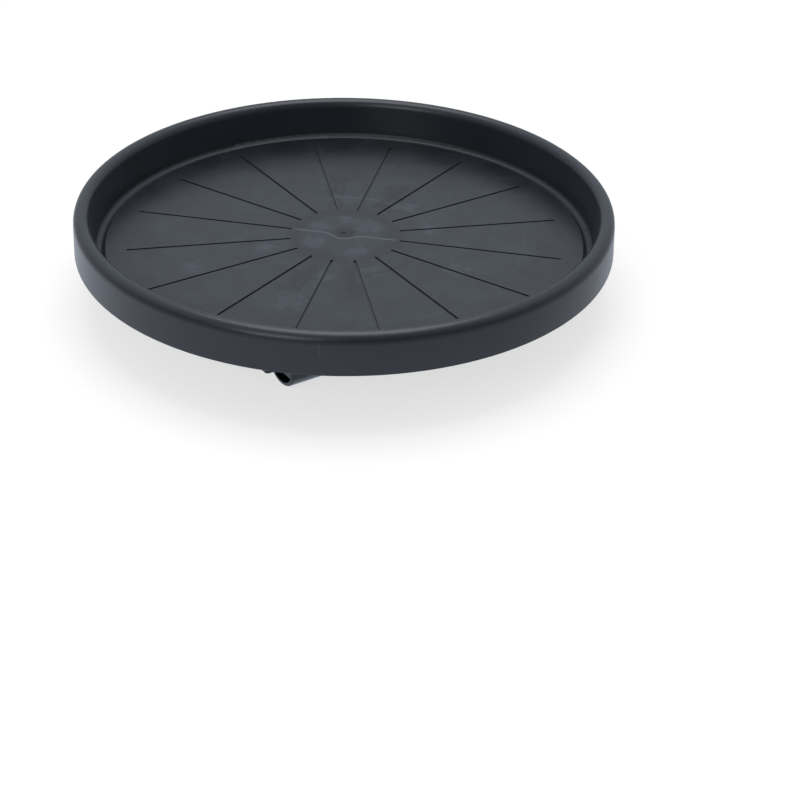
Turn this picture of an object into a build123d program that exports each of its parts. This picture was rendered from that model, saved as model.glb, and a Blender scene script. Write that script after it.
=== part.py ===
from build123d import *
import math
import os

# Plant caddy: a round moulded tray that runs on four wide rollers. All sizes are in millimetres.
# +Z is up, the rollers touch the floor at z = 0, the origin lies under the tray's middle,
# and X runs along the four roller axles, so the caddy rolls along Y.

# Tray, seen in half section
rim_diameter = 390.0
rim_width = 12.1
crest_inset = 6.6
bullnose_height = 7.2
wall = 2.4
skirt_height = 29.0
skirt_flare = 1.0
lip_edge_radius = 0.6
dish_depth = 29.0
dish_wall_lean = 1.4
moat_width = 7.2
moat_depth = 2.5
moat_fillet = 4.0
moat_outer_fillet = 3.0
riser_run = 2.6
riser_fillet = 0.8
floor_thickness = 2.5

# Grooves in the raised floor
groove_count = 16
groove_width = 1.8
groove_depth = 1.1
groove_inner_radius = 40.6
groove_margin = 15.0

# Ribs under the floor
rib_height = 7.0
rib_thickness = 2.0
inner_rib_radius = 62.4
outer_rib_radius = 131.2
short_rib_count = 4

# Rollers
roller_diameter = 37.0
roller_width = 32.0
roller_wall = 2.6
roller_draft = 0.4
roller_edge_radius = 1.2
web_thickness = 2.6
web_fillet = 1.2
hub_diameter = 12.0
hub_edge_radius = 0.6

# Axles
axle_diameter = 5.0
axle_chamfer = 0.5

# Wells that hold the rollers
caster_inset = 44.3
well_wall = 2.0
well_corner_radius = 2.5
well_pocket_radius = 0.8
mouth_below_axle = 2.6
ear_width = 14.0
ear_length = 10.5
saddle_thickness = 2.0
snap_width = 4.3
snap_flare = 0.7

# Clearances
roller_headroom = 4.5
roller_side_gap = 2.5
roller_end_gap = 2.0
hub_play = 0.3
axle_end_play = 0.3
bore_clearance = 0.08
seat_clearance = 0.05

# Heights above the floor that the caddy stands on
roller_radius = roller_diameter / 2
axle_z = roller_radius
mouth_z = axle_z - mouth_below_axle
underside_z = roller_diameter + roller_headroom
floor_z = underside_z + floor_thickness
rib_z = underside_z - rib_height
moat_z = floor_z - moat_depth
moat_underside_z = moat_z - wall
rim_z = floor_z + dish_depth
bullnose_z = rim_z - bullnose_height
lip_z = rim_z - skirt_height

# Radii of the tray
rim_radius = rim_diameter / 2
rim_inner_radius = rim_radius - rim_width
crest_radius = rim_radius - crest_inset
lip_radius = rim_radius + skirt_flare
wall_foot_radius = rim_inner_radius - dish_wall_lean
floor_edge_radius = wall_foot_radius - moat_width
groove_outer_radius = floor_edge_radius - groove_margin
caster_circle_radius = floor_edge_radius - caster_inset
caster_offset = caster_circle_radius / math.sqrt(2)

# Plan of one well, centred on its roller
axle_radius = axle_diameter / 2
hub_half = roller_width / 2 + roller_end_gap - hub_play
pocket_half_x = roller_width / 2 + roller_end_gap
pocket_half_y = roller_radius + roller_side_gap
well_half_x = pocket_half_x + well_wall
well_half_y = pocket_half_y + well_wall
ear_tip_x = well_half_x + ear_length
ear_pocket_tip_x = ear_tip_x - well_wall
ear_pocket_width = ear_width - 2 * well_wall
axle_length = 2 * (ear_pocket_tip_x - axle_end_play)

corners = {
    "front_left": (-caster_offset, -caster_offset),
    "front_right": (caster_offset, -caster_offset),
    "back_left": (-caster_offset, caster_offset),
    "back_right": (caster_offset, caster_offset),
}


def tray_section():
    """Half section of the tray: raised floor, moat, leaning dish wall, bullnose rim and skirt."""
    riser_angle = math.atan2(moat_depth, riser_run)
    step_back = floor_thickness * math.tan(riser_angle / 2)
    moat_radius = min(moat_fillet, moat_width - riser_run - riser_fillet)
    channel_inner = rim_inner_radius + wall
    channel_outer = rim_radius - wall
    channel_middle = (channel_inner + channel_outer) / 2
    with BuildSketch(Plane.XZ) as section:
        with BuildLine():
            EllipticalCenterArc((crest_radius, bullnose_z), crest_inset, bullnose_height)
            EllipticalCenterArc(
                (crest_radius, bullnose_z),
                crest_radius - rim_inner_radius,
                bullnose_height,
                start_angle=90,
                arc_size=90,
            )
            FilletPolyline(
                (rim_inner_radius, bullnose_z),
                (wall_foot_radius, moat_z),
                (floor_edge_radius + riser_run, moat_z),
                (floor_edge_radius, floor_z),
                (0, floor_z),
                radius=[moat_radius, riser_fillet, riser_fillet],
            )
            Line((0, floor_z), (0, underside_z))
            FilletPolyline(
                (0, underside_z),
                (floor_edge_radius - step_back, underside_z),
                (floor_edge_radius + riser_run - step_back, moat_underside_z),
                (wall_foot_radius + wall, moat_underside_z),
                (channel_inner, bullnose_z),
                radius=[riser_fillet, riser_fillet, moat_outer_fillet],
            )
            EllipticalCenterArc(
                (channel_middle, bullnose_z),
                channel_outer - channel_middle,
                bullnose_height - wall,
                arc_size=180,
            )
            FilletPolyline(
                (channel_outer, bullnose_z),
                (lip_radius - wall, lip_z),
                (lip_radius, lip_z),
                (rim_radius, bullnose_z),
                radius=lip_edge_radius,
            )
        make_face()
    return section.sketch


def well_outline():
    """Outside of a well in plan: a box round the roller with an ear at each end of the axle."""
    with BuildSketch() as outline:
        Rectangle(2 * well_half_x, 2 * well_half_y)
        Rectangle(2 * ear_tip_x, ear_width)
        outside_corners = [
            v
            for v in outline.vertices()
            if abs(v.X) > ear_tip_x - 0.01 or abs(v.Y) > well_half_y - 0.01
        ]
        fillet(outside_corners, well_corner_radius)
    return outline.sketch


def well_pockets():
    """Hollows of a well in plan: the roller's own, and two in each ear beside its saddle rib."""
    ear_pocket_length = ear_pocket_tip_x - well_half_x
    saddle_x = well_half_x + ear_pocket_length / 2
    with BuildSketch() as pockets:
        Rectangle(2 * pocket_half_x, 2 * pocket_half_y)
        for side in (-1, 1):
            with Locations((side * saddle_x, 0)):
                Rectangle(ear_pocket_length, ear_pocket_width)
        fillet(pockets.vertices(), well_pocket_radius)
        for side in (-1, 1):
            with Locations((side * saddle_x, 0)):
                Rectangle(saddle_thickness, ear_width, mode=Mode.SUBTRACT)
    return pockets.sketch


def axle_seat():
    """Snap-in seat for the axle, drawn across it: a round seat with a narrow flared way in."""
    flare_z = mouth_z - axle_z
    with BuildSketch() as seat:
        Circle(axle_radius + seat_clearance)
        with BuildLine():
            Polyline(
                (-snap_width / 2, 0),
                (snap_width / 2, 0),
                (snap_width / 2, flare_z + snap_flare),
                (snap_width / 2 + snap_flare, flare_z),
                (-snap_width / 2 - snap_flare, flare_z),
                (-snap_width / 2, flare_z + snap_flare),
                close=True,
            )
        make_face()
    return seat.sketch


def make_tray():
    """The tray as one moulding: dish, rim and skirt, grooves, ribs and the four wells."""
    centres = list(corners.values())
    groove_length = groove_outer_radius - groove_inner_radius - groove_width
    groove_middle = (groove_outer_radius + groove_inner_radius) / 2
    well_height = underside_z - mouth_z
    root = floor_thickness / 2
    with BuildPart() as tray:
        add(tray_section())
        revolve(axis=Axis.Z)

        with BuildSketch(Plane.XY.offset(floor_z)):
            with PolarLocations(groove_middle, groove_count):
                SlotCenterToCenter(groove_length, groove_width)
        extrude(amount=-groove_depth, mode=Mode.SUBTRACT)

        with BuildSketch(Plane.XY.offset(rib_z)):
            for radius in (outer_rib_radius, inner_rib_radius):
                Circle(radius + rib_thickness / 2)
                Circle(radius - rib_thickness / 2, mode=Mode.SUBTRACT)
            for x, y in centres:
                with Locations(Location((x / 2, y / 2), math.degrees(math.atan2(y, x)))):
                    Rectangle(caster_circle_radius, rib_thickness)
            with PolarLocations((inner_rib_radius + outer_rib_radius) / 2, short_rib_count):
                Rectangle(outer_rib_radius - inner_rib_radius, rib_thickness)
        extrude(amount=rib_height + root)

        with BuildSketch(Plane.XY.offset(mouth_z)):
            with Locations(*centres):
                add(well_outline())
        extrude(amount=well_height + root)
        with BuildSketch(Plane.XY.offset(mouth_z)):
            with Locations(*centres):
                add(well_pockets())
        extrude(amount=well_height, mode=Mode.SUBTRACT)
        for x, y in centres:
            across = Plane(origin=(x, y, axle_z), x_dir=(0, 1, 0), z_dir=(1, 0, 0))
            with BuildSketch(across):
                add(axle_seat())
            extrude(amount=ear_pocket_tip_x, both=True, mode=Mode.SUBTRACT)
    return tray.part


def make_roller(x, y):
    """A hollow roller: tread tube and hub joined by one web in the middle, on the X axis."""
    tread_half = roller_width / 2
    web_half = web_thickness / 2
    inner_radius = roller_radius - roller_wall
    hub_radius = hub_diameter / 2
    bore_radius = axle_radius + bore_clearance
    with BuildPart() as roller:
        with BuildSketch(Plane.XZ):
            with BuildLine():
                FilletPolyline(
                    (0, bore_radius),
                    (hub_half, bore_radius),
                    (hub_half, hub_radius),
                    (web_half, hub_radius + roller_draft),
                    (web_half, inner_radius - roller_draft),
                    (tread_half, inner_radius),
                    (tread_half, roller_radius),
                    (0, roller_radius),
                    radius=[0, hub_edge_radius, web_fillet, web_fillet, 0, roller_edge_radius],
                )
                Line((0, roller_radius), (0, bore_radius))
            make_face()
            mirror(about=Plane.YZ)
        revolve(axis=Axis.X)
    return Pos(x, y, axle_z) * roller.part


def make_axle(x, y):
    """A plain steel pin with broken edges, lying along X in its two ears."""
    with BuildPart() as axle:
        Cylinder(axle_radius, axle_length, rotation=(0, 90, 0))
        chamfer(axle.edges().filter_by(GeomType.CIRCLE), axle_chamfer)
    return Pos(x, y, axle_z) * axle.part


os.makedirs("parts", exist_ok=True)
export_step(make_tray(), "parts/tray.step")
for name, (x, y) in corners.items():
    export_step(make_roller(x, y), f"parts/roller_{name}.step")
    export_step(make_axle(x, y), f"parts/axle_{name}.step")
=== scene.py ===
import bpy
import math
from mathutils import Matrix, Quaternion, Vector

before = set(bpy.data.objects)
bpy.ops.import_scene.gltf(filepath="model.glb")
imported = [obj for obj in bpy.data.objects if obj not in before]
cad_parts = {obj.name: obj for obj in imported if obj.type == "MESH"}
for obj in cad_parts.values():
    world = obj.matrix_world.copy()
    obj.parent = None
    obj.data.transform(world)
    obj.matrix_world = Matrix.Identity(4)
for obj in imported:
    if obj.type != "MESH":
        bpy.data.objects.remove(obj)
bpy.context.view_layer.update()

# Tray
# One injection moulding in anthracite polypropylene: floor, water channel, rim, skirt, ribs
# and wells. It was filled through one gate in the middle of the floor, which leaves flow marks
# round it, and its ribs leave faint sink marks in the face above them.
mm = 0.001


class Shade:
    """A value in a node tree. Arithmetic on it adds Math nodes, and node() adds any other node."""

    def __init__(self, tree, socket=None):
        self.tree = tree
        self.socket = socket

    def node(self, kind, settings, sockets, output=0):
        made = self.tree.nodes.new(kind)
        for name, value in settings.items():
            setattr(made, name, value)
        for name, value in sockets.items():
            if isinstance(value, Shade):
                self.tree.links.new(value.socket, made.inputs[name])
            else:
                made.inputs[name].default_value = value
        return Shade(self.tree, made.outputs[output] if made.outputs else None)

    def maths(self, operation, *others):
        values = dict(enumerate((self, *others)))
        return self.node("ShaderNodeMath", {"operation": operation}, values)

    def vector(self, operation, *others, output=0):
        values = dict(enumerate((self, *others)))
        return self.node("ShaderNodeVectorMath", {"operation": operation}, values, output)

    def __add__(self, other):
        return self.maths("ADD", other)

    def __sub__(self, other):
        return self.maths("SUBTRACT", other)

    def __rsub__(self, other):
        return self.node("ShaderNodeMath", {"operation": "SUBTRACT"}, {0: other, 1: self})

    def __mul__(self, other):
        return self.maths("MULTIPLY", other)

    def __truediv__(self, other):
        return self.maths("DIVIDE", other)

    __radd__ = __add__
    __rmul__ = __mul__

    def part(self, axis):
        return self.node("ShaderNodeSeparateXYZ", {}, {"Vector": self}, axis)

    def step(self, low, high, start=0.0, end=1.0):
        """Goes smoothly from start to end as this value goes from low to high."""
        limits = {"From Min": low, "From Max": high, "To Min": start, "To Max": end}
        settings = {"interpolation_type": "SMOOTHSTEP"}
        return self.node("ShaderNodeMapRange", settings, {"Value": self, **limits})

    def near(self, middle, reach):
        """1 where this value is at middle, and smoothly down to 0 at reach from it."""
        return (self - middle).maths("ABSOLUTE").step(0.0, reach, 1.0, 0.0)

    def noise(self, period, detail, distortion=0.0, output="Fac"):
        """Noise at this place, in patches about period across along each axis."""
        there = self.vector("DIVIDE", period)
        values = {"Vector": there, "Scale": 1.0, "Detail": detail, "Distortion": distortion}
        return self.node("ShaderNodeTexNoise", {}, values, output)

    def mix(self, first, second):
        """First colour where this value is 0, second where it is 1."""
        settings = {"data_type": "RGBA", "clamp_factor": True}
        return self.node("ShaderNodeMix", settings, {0: self, 6: first, 7: second}, 2)


def new_material(name):
    made = bpy.data.materials.new(name)
    made.use_nodes = True
    made.node_tree.nodes.clear()
    return made, Shade(made.node_tree)


def dress(kind, material):
    """Gives the material to each node whose name begins with the kind."""
    for name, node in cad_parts.items():
        if name.startswith(kind):
            node.data.materials.clear()
            node.data.materials.append(material)


def place_in_mm(start):
    """Where a point lies on its piece, in millimetres."""
    return start.node("ShaderNodeTexCoord", {}, {}, "Object").vector("DIVIDE", (mm, mm, mm))


def soft_edges(start, radius, height, depth):
    """A normal with edges rounded to the given radius and a fine relief of the given depth."""
    rounded = start.node("ShaderNodeBevel", {"samples": 6}, {"Radius": radius})
    values = {"Strength": 1.0, "Distance": depth, "Height": height, "Normal": rounded}
    return start.node("ShaderNodeBump", {}, values)


# Sizes in millimetres, as the moulding has them, and colours from dull to pale.
floor_height = 44.0
floor_edge = 174.3
moat_edge = 182.9
inner_rib_circle = 62.5
outer_rib_circle = 131.2
gate_middle = (0.6, 2.7, 0.0)
edge_rounding = 0.3 * mm
relief_depth = 0.10 * mm
anthracite = (0.0075, 0.0088, 0.0125, 1.0)
paled_anthracite = (0.0340, 0.0415, 0.0560, 1.0)
weld_pale = (0.078, 0.090, 0.105, 1.0)

tray_plastic, start = new_material("tray_plastic")
place = place_in_mm(start)
east, north, height = (place.part(axis) for axis in "XYZ")
flat_place = place.vector("MULTIPLY", (1.0, 1.0, 0.0))
from_gate = flat_place.vector("LENGTH", output="Value")
at_floor_height = height.step(floor_height - 0.7, floor_height - 0.3)
floor_face = at_floor_height * from_gate.step(floor_edge - 2.3, floor_edge - 0.3, 1.0, 0.0)

# The melt ran out from the gate in lobes, which set in paler patches with ragged edges.
wander = place.noise((13.0, 13.0, 13.0), 4.0, output="Color").vector("SUBTRACT", (0.5, 0.5, 0.5))
melt = flat_place.vector("ADD", wander.vector("MULTIPLY", (16.0, 16.0, 0.0)))
lobes = None
for lobe_east, lobe_north, reach, strength in (
    (21.0, 3.0, 17.0, 1.0),
    (-9.0, 21.0, 14.0, 0.9),
    (-27.0, 1.0, 15.0, 0.9),
    (-9.0, -29.0, 17.0, 1.0),
    (14.0, 20.0, 11.0, 0.8),
    (-61.0, 14.0, 12.0, 0.9),
    (-47.0, -46.0, 14.0, 0.8),
    (62.0, 14.0, 14.0, 0.9),
    (56.0, -24.0, 14.0, 0.8),
    (-12.0, -58.0, 15.0, 0.8),
    (30.0, 52.0, 14.0, 0.8),
    (-120.0, 14.0, 16.0, 0.7),
    (-84.0, -66.0, 22.0, 0.6),
    (40.0, -84.0, 24.0, 0.6),
):
    off = flat_place.vector("DISTANCE", (lobe_east, lobe_north, 0.0), output="Value")
    lobe = off.step(0.2 * reach, reach, strength, 0.0)
    lobes = lobe if lobes is None else lobes.maths("MAXIMUM", lobe)
ragged = melt.noise((8.0, 8.0, 8.0), 4.0, 0.3)
pale = (ragged + 0.36 * lobes).step(0.58, 0.86) * (0.75 + 0.5 * melt.noise((5.0, 5.0, 5.0), 2.0))
drift = melt.noise((24.0, 24.0, 24.0), 5.0, 0.6)

# The ribs below left sink marks: two thin rings, and duller arms beside the diagonals.
# How the light catches each ring is painted into its colour: a painted highlight on some
# bearings and painted shade on another. The bearings are in radians.
bearing = north.maths("ARCTAN2", east)
inner_ring = (from_gate + 3.0 * (drift - 0.5)).near(inner_rib_circle, 2.2)
ring_painted_highlight = (
    bearing.near(0.85, 0.75) + 0.35 * bearing.near(-0.3, 0.8) + 0.25 * bearing.near(-3.0, 0.6)
)
ring_painted_shade = bearing.near(-1.5, 0.8)
outer_ring_painted_highlight = from_gate.near(outer_rib_circle, 1.8) * bearing.near(-1.5, 1.7)
arms = None
for middle in (0.50, 1.10, -2.55, -2.05):
    arm = (bearing + 0.5 * (ragged - 0.5)).near(middle, 0.12)
    arms = arm if arms is None else arms.maths("MAXIMUM", arm)
arms = arms * from_gate.step(44.0, 56.0) * from_gate.step(80.0, 104.0, 1.0, 0.0)

# Two melt fronts met in one line across the gate, between the ends of two grooves.
seam_length = (east - north) / math.sqrt(2)
seam_side = (east + north) / math.sqrt(2)
seam_kink = seam_length.near(-1.5, 15.0) * 6.6
seam = (seam_side + seam_kink + 2.0 * (drift - 0.5)).near(0.0, 1.5)
seam = seam * seam_length.maths("ABSOLUTE").step(35.0, 41.0, 1.0, 0.0)

# The gate itself is a dull, speckled round patch with a small pit in the middle, and the pit is
# painted darker as painted shade in its hollow.
speckle = place.noise((2.4, 2.4, 2.4), 2.0).step(0.38, 0.62)
gate_distance = flat_place.vector("DISTANCE", gate_middle, output="Value")
gate = (gate_distance + 1.4 * (speckle - 0.5)).step(6.4, 8.8, 1.0, 0.0)
pit = gate_distance.step(0.9, 2.0, 1.0, 0.0)
dull_ring = (from_gate + 8.0 * (ragged - 0.5)).near(37.5, 9.0)

tone = (
    0.24
    + 0.90 * (drift - 0.5)
    + 0.50 * pale
    # painted highlight and painted shade on the sink rings
    + 0.75 * inner_ring * ring_painted_highlight
    - 0.35 * inner_ring * ring_painted_shade
    + 0.28 * outer_ring_painted_highlight
    - 0.45 * arms
    - 0.40 * dull_ring
    # painted shade: the floor darker towards its edge, where it mirrors the dark walls
    - 0.20 * from_gate.step(120.0, 172.0)
    + gate * (0.80 * speckle - 0.75)
    # painted shade in the gate's pit
    - 1.0 * pit
)

# Away from the floor the plastic is plainer: a fine grain, faint clouds, one upright scuff on
# the skirt and a duller water channel, and the underside is painted paler as painted light.
scuff = bearing.near(-2.207, 0.004) * height.step(57.0, 60.0) * height.step(66.0, 69.0, 1.0, 0.0)
grain = place.noise((0.7, 0.7, 0.7), 3.0)
cloud = place.noise((45.0, 45.0, 45.0), 3.0, 0.4)
# The water channel is duller, and is also painted a little darker as painted shade on its riser.
moat = from_gate.step(floor_edge - 0.7, floor_edge + 0.3)
moat = moat * from_gate.step(moat_edge - 0.3, moat_edge + 0.3, 1.0, 0.0)
moat = moat * height.step(floor_height + 1.0, floor_height + 4.0, 1.0, 0.0)
underside_painted_light = height.step(floor_height - 2.2, floor_height - 1.4, 1.0, 0.0)
# painted light on the underside and painted shade in the water channel
plain_tone = 0.16 + 0.26 * cloud + 0.30 * underside_painted_light + 0.8 * scuff - 0.1 * moat
shade = floor_face * tone + (1.0 - floor_face) * plain_tone
colour = shade.mix(anthracite, paled_anthracite)
colour = (0.9 * floor_face * seam).mix(colour, weld_pale)
gate_roughness = gate * (0.06 + 0.26 * speckle) + 0.40 * pit
roughness = 0.25 + 0.08 * grain + 0.05 * cloud + 0.16 * moat
roughness = roughness + floor_face * (-0.04 * pale + 0.06 * arms + gate_roughness)
floor_relief = 0.6 * seam - 4.0 * pit + 1.1 * gate * speckle + 0.12 * drift
relief = 0.12 * grain + floor_face * floor_relief
surface = start.node(
    "ShaderNodeBsdfPrincipled",
    {},
    {
        "Base Color": colour,
        "Roughness": roughness,
        "IOR": 1.49,
        "Normal": soft_edges(start, edge_rounding, relief, relief_depth),
    },
)
start.node("ShaderNodeOutputMaterial", {}, {"Surface": surface})

dress("tray", tray_plastic)

# Rollers
# Wide hollow rollers in smooth black plastic, each a moulded tread tube and hub on one web.
# They are glossier than the tray, with fine rub marks round the tread.
black = (0.0055, 0.0060, 0.0065, 1.0)
rubbed_black = (0.0110, 0.0115, 0.0120, 1.0)
roller_plastic, start = new_material("roller_plastic")
place = place_in_mm(start)
rubs = place.noise((0.5, 14.0, 14.0), 3.0)
blotches = place.noise((9.0, 9.0, 9.0), 3.0)
colour = rubs.step(0.35, 0.75).mix(black, rubbed_black)
surface = start.node(
    "ShaderNodeBsdfPrincipled",
    {},
    {
        "Base Color": colour,
        "Roughness": 0.14 + 0.10 * rubs + 0.08 * blotches,
        "IOR": 1.5,
        "Normal": soft_edges(start, edge_rounding, rubs, 0.01 * mm),
    },
)
start.node("ShaderNodeOutputMaterial", {}, {"Surface": surface})
dress("roller", roller_plastic)

# Axles
# Plain drawn steel pins, pressed up into the ears of the wells.
# Drawing leaves fine lines along them.
dull_steel = (0.46, 0.46, 0.45, 1.0)
bright_steel = (0.62, 0.62, 0.60, 1.0)
axle_steel, start = new_material("axle_steel")
place = place_in_mm(start)
drawn = place.noise((12.0, 0.25, 0.25), 2.0)
colour = drawn.mix(dull_steel, bright_steel)
surface = start.node(
    "ShaderNodeBsdfPrincipled",
    {},
    {
        "Base Color": colour,
        "Roughness": 0.22 + 0.18 * drawn,
        "Metallic": 1.0,
        "Normal": soft_edges(start, 0.2 * mm, drawn, 0.01 * mm),
    },
)
start.node("ShaderNodeOutputMaterial", {}, {"Surface": surface})
dress("axle", axle_steel)

# Studio
# A white floor and surround, a large soft lamp overhead and a weaker one from the front left.
# What gloss reflects is graded: dim behind the camera, as a room is, and brightest on the floor
# near the caddy, a pool of light painted into the floor's glow. The floor can be seen through
# from below, so that the underside shows too.
floor_size = 6.0
floor_mesh = bpy.data.meshes.new("studio_floor")
half = floor_size / 2
floor_mesh.from_pydata(
    [(-half, -half, 0), (half, -half, 0), (half, half, 0), (-half, half, 0)], [], [(0, 1, 2, 3)]
)
studio_floor = bpy.data.objects.new("studio_floor", floor_mesh)
bpy.context.scene.collection.objects.link(studio_floor)
floor_paint, start = new_material("floor_paint")
camera_ray = start.node("ShaderNodeLightPath", {}, {}, "Is Camera Ray")
glossy_ray = start.node("ShaderNodeLightPath", {}, {}, "Is Glossy Ray")
floor_place = start.node("ShaderNodeTexCoord", {}, {}, "Object")
beside = floor_place.vector("DISTANCE", (-0.08, 0.05, 0.0), output="Value")
seen_glow = camera_ray * beside.step(0.7, 2.0, 0.66, 1.0)
# a painted pool of light round the caddy, which only glossy rays see
mirrored_painted_pool = glossy_ray * beside.step(0.28, 0.50, 0.90, 0.20)
tint = camera_ray.mix((0.52, 0.60, 0.74, 1.0), (1.0, 1.0, 1.0, 1.0))
emission = (seen_glow + mirrored_painted_pool).mix((0.0, 0.0, 0.0, 1.0), tint)
painted = start.node(
    "ShaderNodeBsdfPrincipled",
    {},
    {
        "Base Color": (0.40, 0.40, 0.40, 1.0),
        "Roughness": 1.0,
        "Specular IOR Level": 0.0,
        "Emission Color": emission,
        "Emission Strength": 1.0,
    },
)
clear = start.node("ShaderNodeBsdfTransparent", {}, {})
from_below = start.node("ShaderNodeNewGeometry", {}, {}, "Backfacing")
surface = start.node("ShaderNodeMixShader", {}, {0: from_below, 1: painted, 2: clear})
start.node("ShaderNodeOutputMaterial", {}, {"Surface": surface})
floor_mesh.materials.append(floor_paint)

world = bpy.data.worlds.new("studio")
world.use_nodes = True
world.node_tree.nodes.clear()
start = Shade(world.node_tree)
camera_ray = start.node("ShaderNodeLightPath", {}, {}, "Is Camera Ray")
glossy_ray = start.node("ShaderNodeLightPath", {}, {}, "Is Glossy Ray")
white = start.node("ShaderNodeBackground", {}, {"Color": (1, 1, 1, 1), "Strength": 1.0})
bright = start.node("ShaderNodeBackground", {}, {"Color": (0.82, 0.91, 1, 1), "Strength": 1.0})
dim = start.node("ShaderNodeBackground", {}, {"Color": (1, 1, 1, 1), "Strength": 0.10})
fill = start.node("ShaderNodeBackground", {}, {"Color": (1, 1, 1, 1), "Strength": 0.55})
photo_azimuth = math.radians(-31.6)
away = (-math.sin(photo_azimuth), math.cos(photo_azimuth), 0.55)
direction = start.node("ShaderNodeTexCoord", {}, {}, "Generated")
facing = direction.vector("DOT_PRODUCT", away, output="Value")
rise = direction.part("Z")
shining = facing.step(-0.75, 0.75) * rise.step(0.25, 0.65, 0.56, 0.98)
shining = shining.maths("MAXIMUM", rise.step(-0.25, 0.0, 0.55, 0.0))
room = start.node("ShaderNodeMixShader", {}, {0: shining, 1: dim, 2: bright})
seen = start.node("ShaderNodeMixShader", {}, {0: glossy_ray, 1: fill, 2: room})
seen = start.node("ShaderNodeMixShader", {}, {0: camera_ray, 1: seen, 2: white})
start.node("ShaderNodeOutputWorld", {}, {"Surface": seen})
bpy.context.scene.world = world


def soft_lamp(name, place, aim, size, power):
    data = bpy.data.lights.new(name, "AREA")
    data.shape = "DISK"
    data.size = size
    data.energy = power
    lamp = bpy.data.objects.new(name, data)
    lamp.location = place
    lamp.rotation_euler = (Vector(aim) - Vector(place)).to_track_quat("-Z", "Y").to_euler()
    bpy.context.scene.collection.objects.link(lamp)


soft_lamp("overhead", (0.1, 0.2, 1.6), (0, 0, 0.05), 1.4, 12.0)
soft_lamp("front_left", (-1.5, -0.9, 0.9), (0, 0, 0.05), 0.9, 5.5)

# Camera
# It stands where the photograph was taken from, and looks at a floor point beside the caddy, so
# that the caddy lies in the upper left of the picture as in the photograph.
rim_centre = Vector((0, 0, 73.0 * mm))
camera_distance = 1169.6 * mm
camera_elevation = math.radians(25.85)
camera_azimuth = math.radians(-31.58)
look_at = Vector((-50.2, -151.4, 0)) * mm
camera_roll = math.radians(1.29)
focal_length_px = 1600.2
picture_width_px = 800
back = Vector((
    math.sin(camera_azimuth) * math.cos(camera_elevation),
    -math.cos(camera_azimuth) * math.cos(camera_elevation),
    math.sin(camera_elevation),
))
camera_data = bpy.data.cameras.new("photo_view")
camera_data.lens = camera_data.sensor_width * focal_length_px / picture_width_px
camera = bpy.data.objects.new("photo_view", camera_data)
camera.location = rim_centre + camera_distance * back
camera.rotation_mode = "QUATERNION"
aim = (look_at - camera.location).to_track_quat("-Z", "Y")
camera.rotation_quaternion = aim @ Quaternion((0, 0, 1), camera_roll)
bpy.context.scene.collection.objects.link(camera)
bpy.context.scene.camera = camera
bpy.context.scene.view_settings.view_transform = "Standard"
